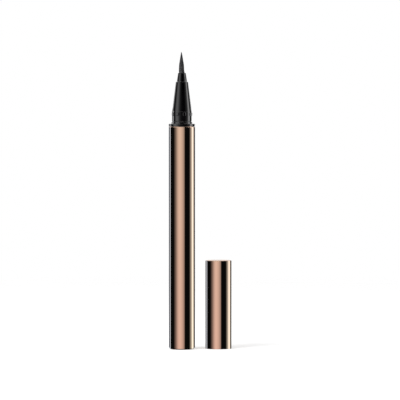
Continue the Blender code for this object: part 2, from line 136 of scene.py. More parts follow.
# Brush
BRUSH_RADIUS = 0.00111
BRUSH_RECESS = 0.0003
BRUSH_ROOT_LENGTH = 0.0044
BRUSH_FLANGE_LIP = 0.00025
BRUSH_FLANGE_HEIGHT = 0.0008
BRUSH_LEAN = 0.00017
BRUSH_LEAN_HEIGHT_SHARE = 0.16
BRUSH_SHOULDER_HEIGHT_SHARE = 0.41
BRUSH_SHOULDER_WIDTH_SHARE = 0.80
BRUSH_POINT_WIDTH_SHARE = 0.12
ROD_BORE_RADIUS = 0.00085
ROD_ENTRY = 0.0020
STRAND_COUNT = 760
STRAND_RADIUS = 0.000036
STRAND_SIDES = 5
STRAND_FOOT = 0.0002
STRAND_HEIGHT_SHARES = (0, 0.12, 0.24, 0.36, 0.46, 0.58, 0.70, 0.82, 0.92)

# How strands wander: waves round the brush and up it, across and then away from the camera
STRAND_WANDER = 0.00005
STRAND_WAVES = ((3, 4), (2, 3))

# How uneven strands are: how far they end short, and their shades as (swing, turn a strand)
SHORT_STRAND_SHARE = 0.18
LEAST_SHORT_SHARE = 0.4
SHORT_STRAND_TURN = 2.4
UNEVEN_STRAND_SHARE = 0.12
STRAND_SHADE_MIDDLE = 0.5
STRAND_SHADE_SWINGS = ((0.35, 1.7), (0.15, 5.3))

# Cap
CAP_LENGTH = 0.03385
CAP_WALL = 0.0004
CAP_TOP_THICKNESS = 0.0006
CAP_TOP_FILLET = 0.0004
CAP_MOUTH_EDGE = 0.0001
CAP_STAND_GAP = 0.00395
CAP_STAND_BACK = 0.0030
LINER_WALL = 0.00035
LINER_RECESS = 0.0003
LINER_EDGE = 0.00008
LINER_MOUTH_DEPTH = 0.0090
LINER_GUIDE_WALL = 0.0009
SNAP_RING_RISE = 0.0020
SNAP_RING_HEIGHT = 0.0008
INNER_CAP_RISE = 0.0100
INNER_CAP_WALL = 0.0004
INNER_CAP_TOP_THICKNESS = 0.0006
INNER_CAP_FLANGE_HEIGHT = 0.0010
INNER_CAP_MOUTH_CHAMFER = 0.0002
BOSS_RADIUS = 0.0022
BOSS_HEIGHT = 0.0006
SPRING_LENGTH = 0.0043
SPRING_WIRE = 0.0004
SPRING_TURNS = 4
SPRING_TURN_POINTS = 32
SPRING_WIRE_SIDES = 12

# Finishes. A grain is its features a metre along each axis, its detail and its own roughness.
# Tones are the darkest and lightest colour. A gloss is the roughness at the grain's two ends.
GRAIN_START = 0.3
GRAIN_END = 0.7
METAL_CLOUD = ((90, 90, 40), 3, 0.5)
METAL_TONES = ((0.725, 0.468, 0.328), (0.745, 0.486, 0.343))
METAL_HAIRLINES = ((120, 120, 6000), 2, 0.6)
METAL_GLOSS = (0.020, 0.034)
METAL_RELIEF = 0.00000001
METAL_SETTINGS = {"Metallic": 1, "Coat Weight": 0.25, "Coat Roughness": 0.02}
SATIN_START = 0.97
SATIN_END = 0.999
SATIN_ROUGHNESS = 0.3
GLOSSY_PLASTIC_HAZE = ((700, 700, 350), 3, 0.55)
GLOSSY_PLASTIC_TONES = ((0.0012, 0.0011, 0.0014), (0.0024, 0.0022, 0.0028))
GLOSSY_PLASTIC_GLOSS = (0.045, 0.075)
GLOSSY_PLASTIC_RIPPLE = ((900, 900, 300), 1, 0.5)
GLOSSY_PLASTIC_RELIEF = 0.0000004
GLOSSY_PLASTIC_SETTINGS = {"IOR": 1.5}
BRISTLE_PATCHES = ((1500, 1500, 500), 3, 0.6)
BRISTLE_PATCH_SHARE = 0.3
BRISTLE_TONES = ((0.010, 0.010, 0.011), (0.135, 0.135, 0.139))
BRISTLE_GLOSS = (0.55, 0.38)
BRISTLE_SETTINGS = {"IOR": 1.36}
MILKY_PLASTIC_HAZE = ((400, 400, 400), 4, 0.55)
MILKY_PLASTIC_TONES = ((0.74, 0.74, 0.71), (0.83, 0.83, 0.80))
MILKY_PLASTIC_GLOSS = (0.30, 0.42)
MILKY_PLASTIC_RELIEF = 0.000004
MILKY_PLASTIC_SETTINGS = {"Subsurface Weight": 0.15, "Subsurface Scale": 0.0006}
ROD_STRANDS = ((9000, 9000, 260), 3, 0.6)
ROD_TONES = ((0.08, 0.08, 0.085), (0.62, 0.60, 0.55))
ROD_GLOSS = (0.8, 1)
ROD_RELIEF = 0.00003
RUBBER_GRAIN = ((3000, 3000, 3000), 3, 0.6)
RUBBER_TONES = ((0.012, 0.012, 0.012), (0.030, 0.029, 0.028))
RUBBER_GLOSS = (0.55, 0.75)
RUBBER_RELIEF = 0.000006
STEEL_MARKS = ((5000, 5000, 1500), 3, 0.6)
STEEL_TONES = ((0.52, 0.52, 0.54), (0.68, 0.68, 0.69))
STEEL_GLOSS = (0.14, 0.30)
STEEL_RELIEF = 0.000001
STEEL_SETTINGS = {"Metallic": 1}

# Camera: at the photograph's own height, aimed a little down at the middle of the pen
CAMERA_LENS_MM = 300
CAMERA_SENSOR_MM = 36
CAMERA_X = 0.00689
CAMERA_Z = 0.0900
CAMERA_MIDDLE_Z = 0.05696
CAMERA_DISTANCE = 1.2716
CAMERA_NEAR = 0.01
CAMERA_FAR = 20.0

# Studio: white all round, with a pale floor and two broad lamps
WHITE = (1, 1, 1)
WORLD_FILL_STRENGTH = 0.55
FLOOR_RADIUS = 0.60
FLOOR_FADE_START = 0.30
FLOOR_FADE_END = 0.58
FLOOR_SIDES = 128
FLOOR_COLOUR = (0.78, 0.78, 0.78)
FLOOR_GLOW_STRENGTH = 0.40
LAMP_SIZE = 0.60
KEY_LAMP_PLACE = (-0.55, -0.60, 0.70)
KEY_LAMP_WATTS = 7.5
FILL_LAMP_PLACE = (0.60, -0.35, 0.75)
FILL_LAMP_WATTS = 1.2

# Panels that only gloss sees, and a black card by the brush that only soft light notices.
# Stops are (degrees round from the camera's side, strength), and fades (tilt in degrees, share).
PANEL_STEP_DEG = 1
FLAG_END_DEG = 166
METAL_PANEL_RADIUS = 0.800
METAL_PANEL_TILTS = (5, 10, 15, 20, 25, 30, 35, 40, 45, 50, 56, 64, 76, 88)
METAL_PANEL_FADE_SHARES = ((0, 1), (40, 1), (50, 0.15), (90, 0))
EDGE_TURN_SHARE = 0.7
METAL_FLAG_RADIUS = 0.820
METAL_FLAG_COLOUR = (0.7, 0.9, 1.1)
METAL_FLAG_STRENGTH = 0.006
METAL_REAR_COLOUR = (0.50, 0.72, 1.00)
METAL_REAR_STOPS = (
    (-166, 0.05), (-150, 0.05), (-144, 0.2), (-136, 0.5), (-131, 1.1), (-128, 1.6),
    (-121, 1.6), (-119, 0),
)
METAL_FRONT_FOOT_COLOUR = (1.045, 0.93, 0.975)
METAL_FRONT_STOPS = (
    (-75, 0), (-59, 0.18), (-49, 0.38), (-40, 0.65), (-30, 0.87), (-22, 0.95), (-13, 0.93),
    (-4, 0.83), (5, 0.73), (10, 0.60), (15, 0.50), (20, 0.42), (24, 0.08), (27, 0.01), (30, 0),
)
METAL_RIGHT_COLOUR = (0.86, 1.00, 1.10)
METAL_RIGHT_FOOT_COLOUR = (0.85, 1.03, 1.09)
METAL_RIGHT_STOPS = (
    (69, 0), (75, 0.13), (84, 0.45), (94, 0.8), (98, 1.1), (102, 1.7), (106, 1.95), (112, 2.0),
    (116, 1.8), (120, 1.2), (125, 0.6), (130, 0.35), (136, 0.12), (147, 0.05), (166, 0.03),
)
CEILING_RADIUS = 0.780
CEILING_FADE_SHARES = ((-88, 1), (-76, 1), (-64, 1), (-56, 1), (-50, 0.8), (-46, 0))
CEILING_STRENGTH = 1.0
TIP_PANEL_RADIUS = 0.015
TIP_PANEL_FOOT = 0.0849
TIP_PANEL_SPLIT = 0.0925
TIP_PANEL_TOP = 0.1105
TIP_FLAG_RADIUS = 0.017
NECK_STOPS = (
    (-170.5, 0.15), (-144, 0.2), (-136, 1.0), (-129, 2.9), (-111.5, 2.9), (-109.5, 0), (-90, 0),
    (-81, 0.9), (-66.5, 2.1), (-53, 2.1), (-40.5, 1.25), (-28, 0.45), (-16.5, 0.2), (-5, 0.08),
    (6, 0.03), (37.5, 0.03), (55, 0.27), (72.5, 0.6), (78, 3.8), (91, 3.8), (107.5, 2.8),
    (109.5, 0), (140, 0), (145, 1.5), (170.5, 1.5),
)
CONE_STOPS = (
    (-169.5, 1.3), (-128, 1.2), (-122, 0.05), (-100.5, 0.02), (-91.5, 0.3), (-82, 1.0), (-72, 1.7),
    (-59.5, 2.1), (-49.5, 1.5), (-39, 1.0), (-30, 0.4), (-18.5, 0.15), (-6, 0.05), (8, 0),
    (37, 0), (46.5, 0.15), (59.5, 0.3), (68, 0.55), (79, 2.0), (84, 4.0), (101.5, 3.6),
    (104.5, 0.2), (126, 0.1), (130, 0.6), (169.5, 1.0),
)
BRUSH_FLAG_RADIUS = 0.005
BRUSH_FLAG_FOOT = 0.098
BRUSH_FLAG_TOP = 0.128
BRUSH_FLAG_STOPS = ((-10, 0), (160, 0))

# Radii of the pieces, from the same sizes as the CAD's
sleeve_bore_r = BARREL_RADIUS - SLEEVE_WALL
tank_r = sleeve_bore_r - SEAT_GAP
tank_bore_r = tank_r - TANK_WALL
skirt_r = tank_bore_r - SEAT_GAP
skirt_bore_r = skirt_r - SKIRT_WALL
seal_groove_r = skirt_r - SEAL_GROOVE_DEPTH
cap_bore_r = BARREL_RADIUS - CAP_WALL
liner_r = cap_bore_r - SEAT_GAP
liner_bore_r = liner_r - LINER_WALL
guide_r = liner_r - LINER_GUIDE_WALL
inner_cap_r = guide_r - RUN_GAP
inner_cap_bore_r = inner_cap_r - INNER_CAP_WALL
flare_r = liner_bore_r - CAP_FIT_GAP
neck_r = flare_r - NECK_STEP
snap_ring_r = neck_r + CAP_FIT_GAP
spring_r = BOSS_RADIUS + RUN_GAP + SPRING_WIRE / 2
brush_flange_r = BRUSH_RADIUS + BRUSH_FLANGE_LIP
holder_bore_r = BRUSH_RADIUS + SEAT_GAP
holder_mouth_r = holder_bore_r + HOLDER_MOUTH_WALL
holder_root_r = holder_mouth_r + HOLDER_TAPER
spigot_bore_r = brush_flange_r + SEAT_GAP
spigot_r = spigot_bore_r + HOLDER_SPIGOT_WALL
socket_r = spigot_r + SEAT_GAP
cone_root_r = neck_r - CONE_ROOT_STEP
cone_tip_r = holder_root_r + CONE_RIM

# Heights of the pen
tank_z = BASE_THICKNESS + SEAT_GAP
collar_z = SLEEVE_LENGTH + SEAT_GAP
collar_top_z = collar_z + COLLAR_HEIGHT
section_z = collar_top_z + SEAT_GAP
cone_z = section_z + NECK_LENGTH
cone_tip_z = cone_z + CONE_LENGTH
holder_z = cone_tip_z + SEAT_GAP
holder_mouth_z = holder_z + HOLDER_LENGTH
spigot_end_z = holder_z - HOLDER_SPIGOT_LENGTH
socket_floor_z = spigot_end_z - SEAT_GAP
brush_z = holder_mouth_z - BRUSH_RECESS
brush_end_z = brush_z - BRUSH_ROOT_LENGTH
brush_flange_top_z = brush_end_z + BRUSH_FLANGE_HEIGHT

# Heights in the cap, and where it stands
cap_x = 2 * BARREL_RADIUS + CAP_STAND_GAP
cap_ceiling = CAP_LENGTH - CAP_TOP_THICKNESS
spring_top = cap_ceiling - SEAT_GAP
spring_foot = spring_top - SPRING_LENGTH
inner_cap_top = spring_foot - SEAT_GAP
inner_cap_flange = inner_cap_top - INNER_CAP_FLANGE_HEIGHT
liner_ledge = inner_cap_flange - SEAT_GAP


def new_material(name, settings):
    """A Principled material with some settings: the material, its node tree and its shader."""
    made = bpy.data.materials.new(name)
    made.use_nodes = True
    shader = made.node_tree.nodes["Principled BSDF"]
    for setting, value in settings.items():
        shader.inputs[setting].default_value = value
    return made, made.node_tree, shader


def stretched_noise(tree, per_metre, detail, roughness_share):
    """Noise over the piece's own coordinates, with so many features a metre along each axis."""
    where = tree.nodes.new("ShaderNodeTexCoord")
    mapping = tree.nodes.new("ShaderNodeMapping")
    mapping.inputs["Scale"].default_value = per_metre
    noise = tree.nodes.new("ShaderNodeTexNoise")
    noise.inputs["Scale"].default_value = 1
    noise.inputs["Detail"].default_value = detail
    noise.inputs["Roughness"].default_value = roughness_share
    tree.links.new(where.outputs["Object"], mapping.inputs["Vector"])
    tree.links.new(mapping.outputs["Vector"], noise.inputs["Vector"])
    return noise.outputs["Fac"]


def mapped(tree, value, low, high, start=GRAIN_START, end=GRAIN_END):
    """Spreads a value's range, as a rule the middle of a noise's, over low to high."""
    spread = tree.nodes.new("ShaderNodeMapRange")
    spread.inputs["From Min"].default_value = start
    spread.inputs["From Max"].default_value = end
    spread.inputs["To Min"].default_value = low
    spread.inputs["To Max"].default_value = high
    tree.links.new(value, spread.inputs["Value"])
    return spread.outputs["Result"]


def combined(tree, operation, first, second):
    """The sum, product or larger one of two values."""
    maths = tree.nodes.new("ShaderNodeMath")
    maths.operation = operation
    tree.links.new(first, maths.inputs[0])
    tree.links.new(second, maths.inputs[1])
    return maths.outputs["Value"]


def coloured(tree, shader, value, tones):
    """Gives a shader a colour that goes from the dark to the light tone with a value."""
    dark, light = tones
    mix = tree.nodes.new("ShaderNodeMix")
    mix.data_type = "RGBA"
    mix.inputs["A"].default_value = (*dark, 1)
    mix.inputs["B"].default_value = (*light, 1)
    tree.links.new(value, mix.inputs["Factor"])
    tree.links.new(mix.outputs["Result"], shader.inputs["Base Color"])


def bumped(tree, shader, value, height):
    """Turns a value into relief of about so many metres on a shader."""
    bump = tree.nodes.new("ShaderNodeBump")
    bump.inputs["Distance"].default_value = height
    bump.inputs["Strength"].default_value = 1
    tree.links.new(value, bump.inputs["Height"])
    tree.links.new(bump.outputs["Normal"], shader.inputs["Normal"])


def rose_gold_metal():
    """Drawn and anodised metal under a thin clear lacquer, with hairlines and faint handling marks.

    The flat end that faces up is satin."""
    made, tree, shader = new_material("rose_gold_metal", METAL_SETTINGS)
    cloud = stretched_noise(tree, *METAL_CLOUD)
    coloured(tree, shader, mapped(tree, cloud, 0, 1), METAL_TONES)
    hairlines = stretched_noise(tree, *METAL_HAIRLINES)
    facing = tree.nodes.new("ShaderNodeNewGeometry")
    parts = tree.nodes.new("ShaderNodeSeparateXYZ")
    tree.links.new(facing.outputs["Normal"], parts.inputs["Vector"])
    satin = mapped(tree, parts.outputs["Z"], 0, SATIN_ROUGHNESS, SATIN_START, SATIN_END)
    polish = mapped(tree, hairlines, *METAL_GLOSS)
    tree.links.new(combined(tree, "ADD", polish, satin), shader.inputs["Roughness"])
    bumped(tree, shader, hairlines, METAL_RELIEF)
    return made


def black_gloss_plastic():
    """Glossy moulded black plastic, with the faint ripple and haze of a moulding."""
    made, tree, shader = new_material("black_gloss_plastic", GLOSSY_PLASTIC_SETTINGS)
    haze = stretched_noise(tree, *GLOSSY_PLASTIC_HAZE)
    coloured(tree, shader, mapped(tree, haze, 0, 1), GLOSSY_PLASTIC_TONES)
    tree.links.new(mapped(tree, haze, *GLOSSY_PLASTIC_GLOSS), shader.inputs["Roughness"])
    ripple = stretched_noise(tree, *GLOSSY_PLASTIC_RIPPLE)
    bumped(tree, shader, ripple, GLOSSY_PLASTIC_RELIEF)
    return made


def bristle_fibre():
    """Fine black bristles, each a little lighter or darker than the next, dulled by dried ink."""
    made, tree, shader = new_material("black_bristle", BRISTLE_SETTINGS)
    shade = tree.nodes.new("ShaderNodeAttribute")
    shade.attribute_name = "strand_shade"
    patches = stretched_noise(tree, *BRISTLE_PATCHES)
    patched = mapped(tree, patches, BRISTLE_PATCH_SHARE, 1)
    coloured(tree, shader, combined(tree, "MULTIPLY", shade.outputs["Fac"], patched), BRISTLE_TONES)
    tree.links.new(mapped(tree, patches, *BRISTLE_GLOSS), shader.inputs["Roughness"])
    return made


def grained(name, grain, tones, gloss, relief, settings):
    """A finish whose colour, gloss and relief all follow one grain."""
    made, tree, shader = new_material(name, settings)
    value = stretched_noise(tree, *grain)
    coloured(tree, shader, mapped(tree, value, 0, 1), tones)
    tree.links.new(mapped(tree, value, *gloss), shader.inputs["Roughness"])
    bumped(tree, shader, value, relief)
    return made


def natural_plastic():
    """Milky uncoloured plastic of the inner mouldings."""
    return grained(
        "natural_plastic",
        MILKY_PLASTIC_HAZE,
        MILKY_PLASTIC_TONES,
        MILKY_PLASTIC_GLOSS,
        MILKY_PLASTIC_RELIEF,
        MILKY_PLASTIC_SETTINGS,
    )


def porous_fibre():
    """Bonded fibre of the feed rod, stained by ink along its strands."""
    return grained("porous_fibre", ROD_STRANDS, ROD_TONES, ROD_GLOSS, ROD_RELIEF, {})


def seal_rubber():
    """Dull black rubber of the sealing ring."""
    return grained("seal_rubber", RUBBER_GRAIN, RUBBER_TONES, RUBBER_GLOSS, RUBBER_RELIEF, {})


def steel():
    """Bright drawn steel of the spring and the ball."""
    return grained("steel", STEEL_MARKS, STEEL_TONES, STEEL_GLOSS, STEEL_RELIEF, STEEL_SETTINGS)


def placed(name, data):
    """A new object in the scene, from its mesh, lamp or camera."""
    made = bpy.data.objects.new(name, data)
    bpy.context.scene.collection.objects.link(made)
    return made


def link_piece(name, mesh, finish, body, replaced):
    """Puts a mesh into the scene as a piece that rides on a body and stands for a CAD node."""
    mesh.materials.append(finish)
    piece = placed(name, mesh)
    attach(piece, body)
    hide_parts(replaced)
    return piece


def corner(r, z, radius, start_deg):
    """The quarter arc of a rounded corner, about (r, z), from start_deg turning left."""
    arc = []
    for step in range(CORNER_STEPS + 1):
        angle = math.radians(start_deg + 90 * step / CORNER_STEPS)
        arc.append((r + radius * math.cos(angle), z + radius * math.sin(angle)))
    return arc


def corner_back(r, z, radius, start_deg):
    """The quarter arc of a hollow corner, about (r, z), from start_deg turning right."""
    return corner(r, z, radius, start_deg - 90)[::-1]


def held(outline, closed):
    """Adds a point near both ends of a long run, so that smooth shading keeps the run straight."""
    ends = list(zip(outline, outline[1:]))
    if closed:
        ends.append((outline[-1], outline[0]))
    points = []
    for start, end in ends:
        points.append(start)
        run = math.dist(start, end)
        if run > HOLDS_IN_LONG_RUN * HOLD:
            for share in (HOLD / run, 1 - HOLD / run):
                points.append(tuple(a + (b - a) * share for a, b in zip(start, end)))
    if not closed:
        points.append(outline[-1])
    return points


def turned(name, outline, sides, x=0, y=0, z=0):
    """The mesh of a turned piece, from an outline of (radius, height) points.

    It stands at height z, about the vertical through (x, y)."""
    on_axis = outline[0][0] == 0 and outline[-1][0] == 0
    points = held(outline, not on_axis)
    shape = bmesh.new()
    verts = [shape.verts.new((x + r, y, z + height)) for r, height in points]
    ends = list(zip(verts, verts[1:]))
    if not on_axis:
        ends.append((verts[-1], verts[0]))
    edges = [shape.edges.new(pair) for pair in ends]
    bmesh.ops.spin(
        shape,
        geom=verts + edges,
        cent=(x, y, 0),
        axis=(0, 0, 1),
        angle=math.tau,
        steps=sides,
        use_merge=True,
    )
    bmesh.ops.remove_doubles(shape, verts=shape.verts, dist=WELD_DISTANCE)
    bmesh.ops.recalc_face_normals(shape, faces=shape.faces)
    mesh = bpy.data.meshes.new(name)
    shape.to_mesh(mesh)
    shape.free()
    smooth(mesh)
    return mesh


def smooth(mesh):
    mesh.shade_smooth()
    mesh.set_sharp_from_angle(angle=math.radians(SHARP_DEG))


def make_barrel(finish):
    outline = [
        (0, 0),
        *corner(BARREL_RADIUS - BASE_FILLET, BASE_FILLET, BASE_FILLET, -90),
        *corner(BARREL_RADIUS - SLEEVE_RIM, SLEEVE_LENGTH - SLEEVE_RIM, SLEEVE_RIM, 0),
        (sleeve_bore_r, SLEEVE_LENGTH),
        *corner_back(
            sleeve_bore_r - BASE_INNER_FILLET,
            BASE_THICKNESS + BASE_INNER_FILLET,
            BASE_INNER_FILLET,
            0,
        ),
        (0, BASE_THICKNESS),
    ]
    mesh = turned("barrel_shell", outline, FINE_SIDES)
    return link_piece("barrel_shell", mesh, finish, "pen", "barrel_sleeve")


def make_tank(finish):
    height = collar_top_z - tank_z
    collar = collar_z - tank_z
    outline = [
        (0, 0),
        (tank_r - TANK_BASE_CHAMFER, 0),
        (tank_r, TANK_BASE_CHAMFER),
        (tank_r, collar),
        *corner(BARREL_RADIUS - COLLAR_EDGE, collar + COLLAR_EDGE, COLLAR_EDGE, -90),
        *corner(BARREL_RADIUS - COLLAR_EDGE, height - COLLAR_EDGE, COLLAR_EDGE, 0),
        (tank_bore_r, height),
        *corner_back(
            tank_bore_r - TANK_FLOOR_FILLET,
            TANK_BASE_THICKNESS + TANK_FLOOR_FILLET,
            TANK_FLOOR_FILLET,
            0,
        ),
        (0, TANK_BASE_THICKNESS),
    ]
    mesh = turned("tank_and_collar", outline, FINE_SIDES, z=tank_z)
    return link_piece("tank_and_collar", mesh, finish, "pen", "ink_tank")


def raise_bumps(mesh):
    """Swells the ring of small bumps out of the neck's wall."""
    low = section_z + SNAP_BUMP_RISE
    for vert in mesh.vertices:
        height = (vert.co.z - low) / (SNAP_BUMP_HEIGHT / 2)
        r = math.hypot(vert.co.x, vert.co.y)
        if abs(height) >= 1 or r < neck_r - NECK_GROOVE_DEPTH:
            continue
        turn = math.atan2(vert.co.y, vert.co.x) - math.radians(SNAP_BUMP_FIRST_DEG - 90)
        pitch = math.tau / SNAP_BUMP_COUNT
        across = ((turn + pitch / 2) % pitch - pitch / 2) * neck_r / (SNAP_BUMP_WIDTH / 2)
        rest = 1 - height ** SNAP_BUMP_POWER - across ** SNAP_BUMP_POWER
        if rest > 0:
            proud = SNAP_BUMP_PROUD * math.sqrt(rest)
            vert.co.x *= (r + proud) / r
            vert.co.y *= (r + proud) / r


def make_section(finish):
    groove_height = tank_bore_r - seal_groove_r
    core_low = NECK_LENGTH - CONE_CORE_DROP
    tip = cone_tip_z - section_z
    floor = socket_floor_z - section_z
    nose_low = floor - NOSE_SEAT_LENGTH
    cone_slope = (cone_root_r - cone_tip_r) / CONE_LENGTH
    core_end_r = cone_root_r - (nose_low - NECK_LENGTH) * cone_slope - CONE_WALL
    neck_rows = []
    for row in range(NECK_GROOVE_ROWS + 1):
        turn = math.pi * row / NECK_GROOVE_ROWS
        height = FLARE_HEIGHT + NECK_GROOVE_HEIGHT / 2 * (1 - math.cos(turn))
        neck_rows.append((neck_r - NECK_GROOVE_DEPTH * math.sin(turn), height))
    bump_low = SNAP_BUMP_RISE - SNAP_BUMP_HEIGHT / 2
    for row in range(SNAP_BUMP_ROWS + 1):
        neck_rows.append((neck_r, bump_low + SNAP_BUMP_HEIGHT * row / SNAP_BUMP_ROWS))
    outline = [
        (skirt_bore_r, -SKIRT_LENGTH),
        (skirt_r - SKIRT_CHAMFER, -SKIRT_LENGTH),
        (skirt_r, SKIRT_CHAMFER - SKIRT_LENGTH),
        (skirt_r, -SEAL_GROOVE_DROP - groove_height),
        (seal_groove_r, -SEAL_GROOVE_DROP - groove_height),
        (seal_groove_r, -SEAL_GROOVE_DROP),
        (skirt_r, -SEAL_GROOVE_DROP),
        (skirt_r, 0),
        (flare_r, 0),
        (neck_r + FLARE_LIP, FLARE_HEIGHT),
        *neck_rows,
        *corner(neck_r - NECK_EDGE, NECK_LENGTH - NECK_EDGE, NECK_EDGE, 0),
        (cone_root_r, NECK_LENGTH),
        *corner(cone_tip_r - CONE_EDGE, tip - CONE_EDGE, CONE_EDGE, 0),
        (socket_r, tip),
        (socket_r, floor),
        (NOSE_BORE_RADIUS, floor),
        (NOSE_BORE_RADIUS, nose_low),
        (core_end_r, nose_low),
        (skirt_bore_r, core_low),
    ]
    name = "front_section_moulding"
    mesh = turned(name, outline, FINE_SIDES, z=section_z)
    raise_bumps(mesh)
    smooth(mesh)
    return link_piece(name, mesh, finish, "pen", "front_section")


def make_holder(finish):
    ledge = brush_flange_top_z + SEAT_GAP - holder_z
    edge = HOLDER_MOUTH_EDGE
    outline = [
        (spigot_bore_r, -HOLDER_SPIGOT_LENGTH),
        (spigot_r, -HOLDER_SPIGOT_LENGTH),
        (spigot_r, 0),
        (holder_root_r, 0),
        *corner(holder_mouth_r - edge, HOLDER_LENGTH - edge, edge, 0),
        (holder_bore_r, HOLDER_LENGTH),
        (holder_bore_r, ledge),
        (spigot_bore_r, ledge),
    ]
    name = "tip_holder_moulding"
    mesh = turned(name, outline, FINE_SIDES, z=holder_z)
    return link_piece(name, mesh, finish, "pen", "tip_holder")


def brush_width_share(height_share):
    """How wide the brush is at a share of its height, as a share of its width at the root."""
    shoulder = BRUSH_SHOULDER_HEIGHT_SHARE
    width = BRUSH_SHOULDER_WIDTH_SHARE
    if height_share < shoulder:
        return 1 - (1 - width) * height_share / shoulder
    drawn_in = (height_share - shoulder) / (1 - shoulder)
    return width + (BRUSH_POINT_WIDTH_SHARE - width) * drawn_in


def brush_centre(x, y, height_share, length):
    """Where a strand rooted at (x, y) passes at a share of the brush's height.

    The wander is the same for neighbours, so strands flow together and none crosses another."""
    width = brush_width_share(height_share)
    bow = math.sin(math.pi * min(height_share, 1)) * STRAND_WANDER
    around = math.atan2(y, x)
    lean = min(height_share / BRUSH_LEAN_HEIGHT_SHARE, 1)
    lean = BRUSH_LEAN * lean * lean * (3 - 2 * lean)
    (across_round, across_up), (away_round, away_up) = STRAND_WAVES
    shift_x = bow * math.sin(across_round * around + across_up * height_share)
    shift_y = bow * math.cos(away_round * around + away_up * height_share)
    return Vector((
        x * width - lean + shift_x * width,
        y * width + shift_y * width,
        brush_z + length * height_share,
    ))


def make_brush(finish):
    """The brush's root, a turned plug, and its strands, closed tapered tubes that grow from it."""
    name = "brush_bristles"
    entry = ROD_ENTRY + SEAT_GAP
    outline = [
        (0, 0),
        (BRUSH_RADIUS, 0),
        (BRUSH_RADIUS, brush_flange_top_z - brush_z),
        (brush_flange_r, brush_flange_top_z - brush_z),
        (brush_flange_r, -BRUSH_ROOT_LENGTH),
        (ROD_BORE_RADIUS, -BRUSH_ROOT_LENGTH),
        (ROD_BORE_RADIUS, entry - BRUSH_ROOT_LENGTH),
        (0, entry - BRUSH_ROOT_LENGTH),
    ]
    root = turned(name, outline, PLAIN_SIDES, z=brush_z)
    verts = [tuple(vert.co) for vert in root.vertices]
    faces = [tuple(face.vertices) for face in root.polygons]
    shades = [0.0] * len(verts)
    bpy.data.meshes.remove(root)
    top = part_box("brush_tip")[1].z - brush_z
    reach = BRUSH_RADIUS - STRAND_RADIUS
    golden = math.pi * (3 - math.sqrt(5))
    rows = len(STRAND_HEIGHT_SHARES)
    for index in range(STRAND_COUNT):
        r = reach * math.sqrt((index + 0.5) / STRAND_COUNT)
        x = r * math.cos(index * golden)
        y = r * math.sin(index * golden)
        uneven = 0.5 + 0.5 * math.cos(SHORT_STRAND_TURN * index)
        short_share = SHORT_STRAND_SHARE * (LEAST_SHORT_SHARE + (1 - LEAST_SHORT_SHARE) * uneven)
        shorter = (short_share + UNEVEN_STRAND_SHARE * math.cos(index)) * r
        reach_share = 1 - max(shorter, 0) / BRUSH_RADIUS
        shade = STRAND_SHADE_MIDDLE
        for swing, turn in STRAND_SHADE_SWINGS:
            shade += swing * math.cos(turn * index)
        first = len(verts)
        for row, share in enumerate(STRAND_HEIGHT_SHARES):
            height_share = share * reach_share
            centre = brush_centre(x, y, height_share, top)
            if row == 0:
                centre.z -= STRAND_FOOT
            radius = STRAND_RADIUS * brush_width_share(height_share)
            for side in range(STRAND_SIDES):
                turn = math.tau * side / STRAND_SIDES + index
                vert_x = centre.x + radius * math.cos(turn)
                vert_y = centre.y + radius * math.sin(turn)
                verts.append((vert_x, vert_y, centre.z))
                shades.append(shade)
        verts.append(tuple(brush_centre(x, y, reach_share, top)))
        shades.append(shade)
        faces.append(tuple(first + side for side in reversed(range(STRAND_SIDES))))
        for side in range(STRAND_SIDES):
            after = (side + 1) % STRAND_SIDES
            for row in range(rows - 1):
                low = first + row * STRAND_SIDES
                high = low + STRAND_SIDES
                faces.append((low + side, low + after, high + after, high + side))
            last = first + (rows - 1) * STRAND_SIDES
            faces.append((last + side, last + after, first + rows * STRAND_SIDES))
    mesh = bpy.data.meshes.new(name)
    mesh.from_pydata(verts, [], faces)
    mesh.attributes.new("strand_shade", "FLOAT", "POINT").data.foreach_set("value", shades)
    smooth(mesh)
    return link_piece(name, mesh, finish, "pen", "brush_tip")


def make_cap_cover(finish):
    outline = [
        (0, cap_ceiling),
        (cap_bore_r, cap_ceiling),
        (cap_bore_r, CAP_MOUTH_EDGE),
        *corner_back(cap_bore_r + CAP_MOUTH_EDGE, CAP_MOUTH_EDGE, CAP_MOUTH_EDGE, 270)[1:],
        *corner(BARREL_RADIUS - CAP_MOUTH_EDGE, CAP_MOUTH_EDGE, CAP_MOUTH_EDGE, -90),
        *corner(BARREL_RADIUS - CAP_TOP_FILLET, CAP_LENGTH - CAP_TOP_FILLET, CAP_TOP_FILLET, 0),
        (0, CAP_LENGTH),
    ]
    mesh = turned("cap_cover", outline, FINE_SIDES, x=cap_x, y=CAP_STAND_BACK)
    return link_piece("cap_cover", mesh, finish, "cap", "cap_shell")


def make_cap_lining(finish):
    ring_low = SNAP_RING_RISE
    ring_high = SNAP_RING_RISE + SNAP_RING_HEIGHT
    ring_ramp = liner_bore_r - snap_ring_r
    outline = [
        (liner_bore_r + LINER_EDGE, LINER_RECESS),
        (liner_r, LINER_RECESS),
        (liner_r, spring_top),
        (liner_bore_r, spring_top),
        (liner_bore_r, liner_ledge),
        (guide_r, liner_ledge),
        (guide_r, LINER_MOUTH_DEPTH),
        (liner_bore_r, LINER_MOUTH_DEPTH),
        (liner_bore_r, ring_high),
        (snap_ring_r, ring_high - ring_ramp),
        (snap_ring_r, ring_low + ring_ramp),
        (liner_bore_r, ring_low),
        (liner_bore_r, LINER_RECESS + LINER_EDGE),
    ]
    mesh = turned("cap_lining", outline, FINE_SIDES, x=cap_x, y=CAP_STAND_BACK)
    return link_piece("cap_lining", mesh, finish, "cap", "cap_liner")


